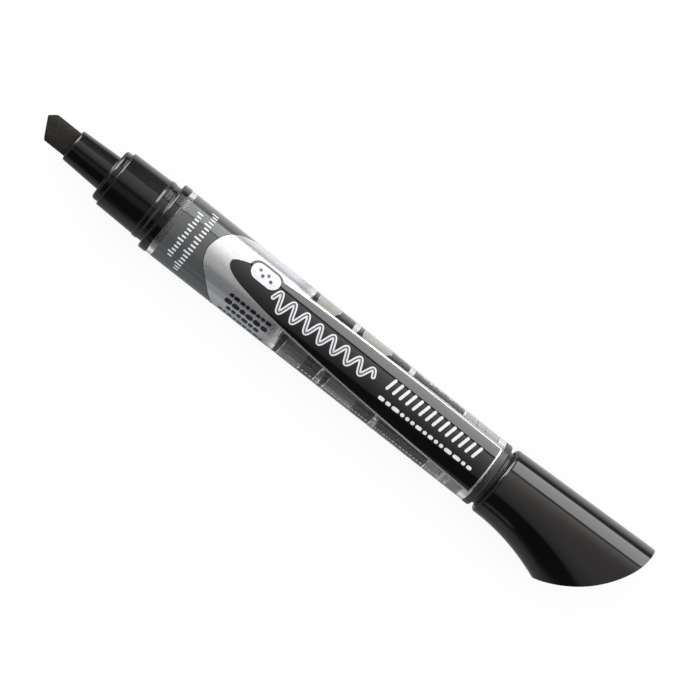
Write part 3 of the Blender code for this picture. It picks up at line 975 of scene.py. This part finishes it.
def follow(points, at):
    # a smooth curve through the listed points, read at one place
    xs = [x for x, _ in points]
    ys = [y for _, y in points]
    i = max(0, min(len(xs) - 2, sum(1 for x in xs if x <= at) - 1))

    def slope(j):
        lo, hi = max(0, j - 1), min(len(xs) - 1, j + 1)
        return (ys[hi] - ys[lo]) / (xs[hi] - xs[lo])

    h = xs[i + 1] - xs[i]
    t = min(1.0, max(0.0, (at - xs[i]) / h))
    a = ys[i] * (1 + 2 * t) * (1 - t) ** 2 + slope(i) * h * t * (1 - t) ** 2
    return a + ys[i + 1] * (3 - 2 * t) * t * t - slope(i + 1) * h * (1 - t) * t * t


def swooshEdge(deg):
    # the front's curve, repeated on the back
    return follow(label["swoosh"], (deg + 80) % 180 - 80)


def spearUpper(s):
    return follow(label["upper"], s)


def spearLower(s):
    return follow(label["lower"], s)


def spearRim(s):
    return spearUpper(s) + follow(label["upperLine"], s)


def spread(first, last, count):
    return [first + (last - first) * k / (count - 1) for k in range(count)]


def spearSides(turn, top, down, stations):
    # out along the upper edge and back along the lower one
    stations = stations + spread(stations[-1] + 0.5, label["end"], 70)
    loop = [(s, turn + top(s)) for s in stations]
    return loop + [(s, turn + spearLower(s) - down) for s in reversed(stations)]


def spearPanel(turn):
    first = label["upper"][0][0]
    front = [first + label["noseLength"] * (k / 30) ** 2 for k in range(31)]
    noseAt, noseDeg = label["nose"]
    return spearSides(turn, spearUpper, 0.0, front) + [(noseAt, turn + noseDeg)]


def makeLabel():
    degrees = spread(190, -170, 241)
    edge = [(swooshEdge(d), d) for d in degrees]
    band = [(label["start"], degrees[0])] + edge + [(label["start"], degrees[-1])]
    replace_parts(film("grey_band", [band], bandPrint, layer["base"]), "label_wrap")
    rim = [(s + label["edgeLine"], d) for s, d in edge]
    film("swoosh_line", [edge + list(reversed(rim))], darkPrint, layer["edge"])
    # silver goes all round up to the clear windows, then thins out and stays only beside the panels
    clear, gone = label["clearFrom"], label["fadeEnd"]
    silver = rim + [(clear, degrees[-1]), (clear, degrees[0])]
    film("silver_swoosh", [silver], silverPrint, layer["base"])
    down = label["lowerLine"]
    borders = [spearSides(turn, spearRim, down, [clear]) for turn in (0, 180)]
    film("silver_border", borders, silverPrint, layer["base"])
    stations = spread(clear, gone, 9)
    fades = []
    for turn in (0, 180):
        side = [(s, turn + spearRim(s)) for s in stations]
        side += [(s, turn + 180 + spearLower(s) - down) for s in reversed(stations)]
        fades.append(side)
    film("silver_fade", fades, silverFade, layer["base"])
    film("black_panel", [spearPanel(turn) for turn in (0, 180)], panelPrint, layer["panel"])
    t = label["tailLine"]
    tail = [(t["first"], t["high"]), (t["last"], t["high"])]
    tail += [(t["last"], t["low"]), (t["first"], t["low"])]
    film("panel_tail_line", [tail], silverPrint, layer["ink"])


makeLabel()


def stroke(points, width, ends=9):
    # an even pen line with round ends, as short flat pieces, along a path in stations and degrees
    path = [Vector((s, deg * arcPerDegree)) for s, deg in points]
    left, right = [], []
    for i, p in enumerate(path):
        way = (path[min(i + 1, len(path) - 1)] - path[max(i - 1, 0)]).normalized()
        side = Vector((-way.y, way.x)) * width / 2
        left.append(p + side)
        right.append(p - side)

    def roundEnd(last, before):
        way = (last - before).normalized()
        side = Vector((-way.y, way.x))
        turns = [math.pi * k / ends for k in range(1, ends)]
        return [last + (side * math.cos(a) + way * math.sin(a)) * width / 2 for a in turns]

    loops = [[left[i], left[i + 1], right[i + 1], right[i]] for i in range(len(path) - 1)]
    loops.append([left[-1]] + roundEnd(path[-1], path[-2]) + [right[-1]])
    loops.append([right[0]] + roundEnd(path[0], path[1]) + [left[0]])
    return [[(p.x, p.y / arcPerDegree) for p in loop] for loop in loops]


def roundDot(s, deg, size, steps=20):
    turns = [2 * math.pi * k / steps for k in range(steps)]
    return [(s + size * math.cos(a), deg + size * math.sin(a) / arcPerDegree) for a in turns]


def dashes(rand, first, last, deg, width, lengths, gap):
    # a broken line of plain rounded dashes along the barrel
    made, s = [], first + width / 2
    while s < last - width:
        long = min(rand.choice(lengths), last - width / 2 - s)
        made += stroke([(s, deg), (s + max(long, 0.05), deg)], width)
        s += long + width + gap
    return made


def dashedLine(rand, line):
    return dashes(rand, line["from"], line["to"], line["deg"], line["width"], line["lengths"],
                  line["gap"])


# Plain motifs. Places round the barrel, and swings, are in degrees; the rest is in millimetres,
# apart from a tick's shares of its height.
motifs = {
    "wave": {"from": 51.6, "to": 74.4, "middle": 7.6, "swing": 13.6, "settle": 0.30, "crests": 7.5,
             "points": 300, "width": 0.86, "core": 0.26},
    "bars": {"from": 77.6, "to": 97.2, "count": 14, "low": 7.0, "high": 25.0, "lean": 0.5,
             "width": 0.56},
    "badge": {"from": 46.9, "to": 49.7, "deg": 26.5, "width": 3.3, "rim": 0.55, "edge": 0.28,
              "dots": 4, "dotGap": 0.9, "dotSwing": 3.2, "dotSize": 0.34},
    "small": {"from": 77.3, "to": 98.6, "deg": -10.6, "width": 0.70, "gap": 0.36,
              "lengths": (0.1, 0.35, 0.6, 0.9)},
    "rules": {"rows": [(-29.3, 0.72, 45.2, 55.0), (-42.3, 1.02, 45.0, 55.1),
                       (-55.2, 0.86, 46.1, 54.0), (-71.5, 0.60, 45.0, 55.2)],
              "gap": 0.14, "lengths": (0.15, 0.35, 0.55)},
    "ticks": {"rows": [(32.28, 0.96, 40, -42), (34.60, 1.18, 58, -59)], "pitch": 6.4,
              "width": 0.34, "upShare": 0.5, "downShare": 0.15, "longShare": 0.5},
    "fine": {"from": 63.0, "to": 97.0, "deg": -63.8, "width": 0.20, "gap": 0.28,
             "lengths": (0.1, 0.25, 0.4)},
}


def makeMotifs():
    rand = random.Random(7)
    m = motifs["wave"]

    def waveAt(t):
        # a hand-drawn squiggle that settles towards its end
        size = m["swing"] * (1.0 - m["settle"] * t)
        deg = m["middle"] + size * math.sin(2 * math.pi * m["crests"] * t)
        return m["from"] + (m["to"] - m["from"]) * t, deg

    path = [waveAt(k / m["points"]) for k in range(m["points"] + 1)]
    white = stroke(path, m["width"])
    b = motifs["bars"]
    for k in range(b["count"]):
        s = b["from"] + (b["to"] - b["from"]) * k / (b["count"] - 1)
        white += stroke([(s, b["low"]), (s + b["lean"], b["high"])], b["width"])
    white += dashedLine(rand, motifs["small"])
    badge = motifs["badge"]
    middle = [(badge["from"], badge["deg"]), (badge["to"], badge["deg"])]
    white += stroke(middle, badge["width"], 24)
    film("pen_strokes", white, whitePrint, layer["ink"])
    rim = badge["width"] + 2 * badge["rim"]
    film("badge_edge", stroke(middle, rim + 2 * badge["edge"], 24), whitePrint, layer["edge"])
    film("badge_rim", stroke(middle, rim, 24), panelPrint, layer["rim"])
    dots = []
    for k in range(badge["dots"]):
        deg = badge["deg"] + badge["dotSwing"] * (-1) ** k
        dots.append(roundDot(badge["from"] + k * badge["dotGap"], deg, badge["dotSize"]))
    film("pen_cores", stroke(path, m["core"]) + dots, bandPrint, layer["over"])
    rules = []
    r = motifs["rules"]
    for deg, width, first, last in r["rows"]:
        rules += dashes(rand, first, last, deg, width, r["lengths"], r["gap"])
    film("dark_rules", rules, darkPrint, layer["ink"])
    ticks = []
    g = motifs["ticks"]
    for s, tall, first, last in g["rows"]:
        # plain graduations, every fourth one longer
        count = round((first - last) / g["pitch"])
        for k in range(count + 1):
            deg = first + (last - first) * k / count
            low = s - tall * (g["longShare"] if k % 4 == 0 else g["downShare"])
            ticks += stroke([(low, deg), (s + tall * g["upShare"], deg)], g["width"], 5)
    ticks += dashedLine(rand, motifs["fine"])
    film("fine_ticks", ticks, whitePrint, layer["ink"])


makeMotifs()
print("label printed")

# Floor, light and camera.
ground = {"size": 3.0, "drop": 0.05, "throughBarrel": 0.88, "glow": 0.90, "soak": 0.11}


def makeFloor():
    f = ground
    half, z = f["size"] / 2, -f["drop"] * mm
    mesh = bpy.data.meshes.new("pale_floor")
    corners = [(-half, -half, z), (half, -half, z), (half, half, z), (-half, half, z)]
    mesh.from_pydata(corners, [], [(0, 1, 2, 3)])
    floor = bpy.data.objects.new("pale_floor", mesh)
    bpy.context.scene.collection.objects.link(floor)
    material = bpy.data.materials.new("pale floor")
    material.use_nodes = True
    nodes, links = material.node_tree.nodes, material.node_tree.links
    nodes.clear()

    def matt(level):
        node = nodes.new("ShaderNodeBsdfDiffuse")
        node.inputs["Color"].default_value = (level, level, level, 1)
        return node.outputs["BSDF"]

    glow = nodes.new("ShaderNodeEmission")
    glow.inputs["Strength"].default_value = f["glow"]
    lit = nodes.new("ShaderNodeAddShader")
    links.new(glow.outputs[0], lit.inputs[0])
    links.new(matt(f["soak"]), lit.inputs[1])
    # the floor itself looks evenly pale; through the barrel it keeps its full shadow
    path = nodes.new("ShaderNodeLightPath")
    pick = nodes.new("ShaderNodeMixShader")
    links.new(path.outputs["Is Camera Ray"], pick.inputs["Fac"])
    links.new(matt(f["throughBarrel"]), pick.inputs[1])
    links.new(lit.outputs[0], pick.inputs[2])
    out = nodes.new("ShaderNodeOutputMaterial")
    links.new(pick.outputs[0], out.inputs["Surface"])
    mesh.materials.append(material)
    floor.visible_glossy = False
    floor.visible_diffuse = False
    floor.visible_shadow = False


# The studio round the marker. Each list is (degrees from straight up, light there), positive
# towards the side away from the heel. Where one list gives way to the next is the direction's X.
sky = {
    "strength": 10.0,
    "nibEnd": [(-180, 0.40), (-100, 0.40), (-60, 0.25), (0, 0.6), (28, 1.2), (36, 9.0), (88, 9.0),
               (98, 1.0), (130, 0.9), (180, 0.40)],
    "nibEndTo": (-0.22, -0.14),
    "nibSide": [(-180, 0.40), (-140, 0.34), (-118, 0.40), (-100, 0.40), (-92, 0.30), (-84, 0.10),
                (-70, 0.03), (-35, 0.04), (-26, 0.27), (-8, 0.27), (-3, 0.10), (2, 0.12),
                (8, 0.50), (20, 0.85), (33, 1.1), (44, 1.25), (51, 1.2), (54, 0.45), (70, 0.40),
                (80, 0.25), (108, 0.25), (116, 0.8), (126, 1.2), (150, 1.2), (180, 0.40)],
    "nibSideTo": (0.001, 0.006),
    "capSide": [(-180, 0.40), (-140, 0.34), (-118, 0.39), (-103, 0.50), (-95, 0.45), (-92, 0.09),
                (-86, 0.09), (-82, 0.46), (-76, 0.46), (-72, 0.05), (-33, 0.03), (-28, 0.36),
                (-11, 0.55), (0, 0.70), (15, 0.98), (33, 1.40), (44, 1.80), (51.5, 1.85),
                (52.5, 0.06), (57.0, 0.06), (58, 5.3), (97, 5.3), (99, 0.22), (112, 0.25),
                (118, 0.9), (126, 1.2), (150, 1.2), (180, 0.40)],
    "capSideTo": (0.30, 0.55),
    "capEnd": [(-180, 0.40), (-90, 0.5), (0, 1.1), (90, 1.6), (180, 0.40)],
    "soft": [(-180, 0.80), (-90, 0.60), (-20, 0.88), (20, 1.30), (60, 1.60), (120, 1.60),
             (180, 0.90)],
    "red": 0.025,
    "blue": 0.045,
    "capRed": 0.16,
    "capRedWithin": 25,
    "plainFrom": 57,
    "seen": 0.95,
}


def makeSky():
    world = bpy.data.worlds.new("soft studio")
    bpy.context.scene.world = world
    world.use_nodes = True
    world.cycles.sampling_method = "NONE"
    nodes, links = world.node_tree.nodes, world.node_tree.links
    background = nodes["Background"]
    coords = nodes.new("ShaderNodeTexCoord")
    split = nodes.new("ShaderNodeSeparateXYZ")
    links.new(coords.outputs["Generated"], split.inputs["Vector"])
    around = nodes.new("ShaderNodeMath")
    around.operation = "ARCTAN2"
    links.new(split.outputs["Y"], around.inputs[0])
    links.new(split.outputs["Z"], around.inputs[1])
    turn = nodes.new("ShaderNodeMapRange")
    turn.inputs["From Min"].default_value = -math.pi
    turn.inputs["From Max"].default_value = math.pi
    links.new(around.outputs[0], turn.inputs["Value"])

    def ramp(stops, redOnTop=sky["red"]):
        node = nodes.new("ShaderNodeValToRGB")
        links.new(turn.outputs["Result"], node.inputs["Fac"])
        made = node.color_ramp.elements
        while len(made) > 1:
            made.remove(made[-1])
        for i, (deg, light) in enumerate(stops):
            stop = made[0] if i == 0 else made.new(1.0)
            stop.position = (deg + 180) / 360
            level = light / sky["strength"]
            # warmer above, cooler on the low side, plain in the bright strip and beyond
            warm = max(-1.0, min(1.0, (deg + 20) / 60)) if deg < sky["plainFrom"] else 0.0
            red = redOnTop if abs(deg) < sky["capRedWithin"] else sky["red"]
            stop.color = (level * (1 + red * warm), level, level * (1 - sky["blue"] * warm), 1)
        return node.outputs["Color"]

    def blend(first, second, low, high):
        share = nodes.new("ShaderNodeMapRange")
        share.interpolation_type = "SMOOTHSTEP"
        share.inputs["From Min"].default_value = low
        share.inputs["From Max"].default_value = high
        links.new(split.outputs["X"], share.inputs["Value"])
        mix = nodes.new("ShaderNodeMix")
        mix.data_type = "RGBA"
        links.new(share.outputs["Result"], mix.inputs["Factor"])
        links.new(first, mix.inputs["A"])
        links.new(second, mix.inputs["B"])
        return mix.outputs["Result"]

    light = blend(ramp(sky["nibEnd"]), ramp(sky["nibSide"]), *sky["nibEndTo"])
    light = blend(light, ramp(sky["capSide"], sky["capRed"]), *sky["nibSideTo"])
    light = blend(light, ramp(sky["capEnd"]), *sky["capSideTo"])
    # matt surfaces, and what shows through the clear barrel, get an even light from all round
    path = nodes.new("ShaderNodeLightPath")
    shiny = nodes.new("ShaderNodeMath")
    shiny.operation = "SUBTRACT"
    shiny.use_clamp = True
    links.new(path.outputs["Is Glossy Ray"], shiny.inputs[0])
    links.new(path.outputs["Is Transmission Ray"], shiny.inputs[1])
    choice = nodes.new("ShaderNodeMix")
    choice.data_type = "RGBA"
    links.new(shiny.outputs[0], choice.inputs["Factor"])
    links.new(ramp(sky["soft"]), choice.inputs["A"])
    links.new(light, choice.inputs["B"])
    links.new(choice.outputs["Result"], background.inputs["Color"])
    background.inputs["Strength"].default_value = sky["strength"]
    # what the camera itself sees past the floor is plain and pale
    plain = nodes.new("ShaderNodeBackground")
    plain.inputs["Color"].default_value = (sky["seen"], sky["seen"], sky["seen"], 1)
    pick = nodes.new("ShaderNodeMixShader")
    links.new(path.outputs["Is Camera Ray"], pick.inputs["Fac"])
    links.new(background.outputs[0], pick.inputs[1])
    links.new(plain.outputs[0], pick.inputs[2])
    links.new(pick.outputs[0], nodes["World Output"].inputs["Surface"])


view = {"lens": 205.7, "sensor": 36, "distance": 0.72, "lean": 3.2, "roll": 38.44,
        "targetStation": 68.54, "targetSide": 2.067, "near": 0.01, "far": 20}


def makeCamera():
    data = bpy.data.cameras.new("camera")
    data.lens = view["lens"]
    data.sensor_width = view["sensor"]
    data.clip_start = view["near"]
    data.clip_end = view["far"]
    camera = bpy.data.objects.new("camera", data)
    bpy.context.scene.collection.objects.link(camera)
    target = spot(view["targetStation"], 0, 0) + Vector((0, view["targetSide"] * mm, 0))
    lean = math.radians(view["lean"])
    back = Vector((-math.sin(lean), 0, math.cos(lean)))
    along = (Vector((1, 0, 0)) - back * back.x).normalized()
    across = back.cross(along)
    roll = math.radians(view["roll"])
    right = along * math.cos(roll) + across * math.sin(roll)
    up = back.cross(right)
    turned = Matrix((right, up, back)).transposed().to_4x4()
    camera.matrix_world = Matrix.Translation(target + back * view["distance"]) @ turned
    bpy.context.scene.camera = camera


makeFloor()
makeSky()
makeCamera()
bpy.context.scene.view_settings.view_transform = "Standard"
print("floor, light and camera set")
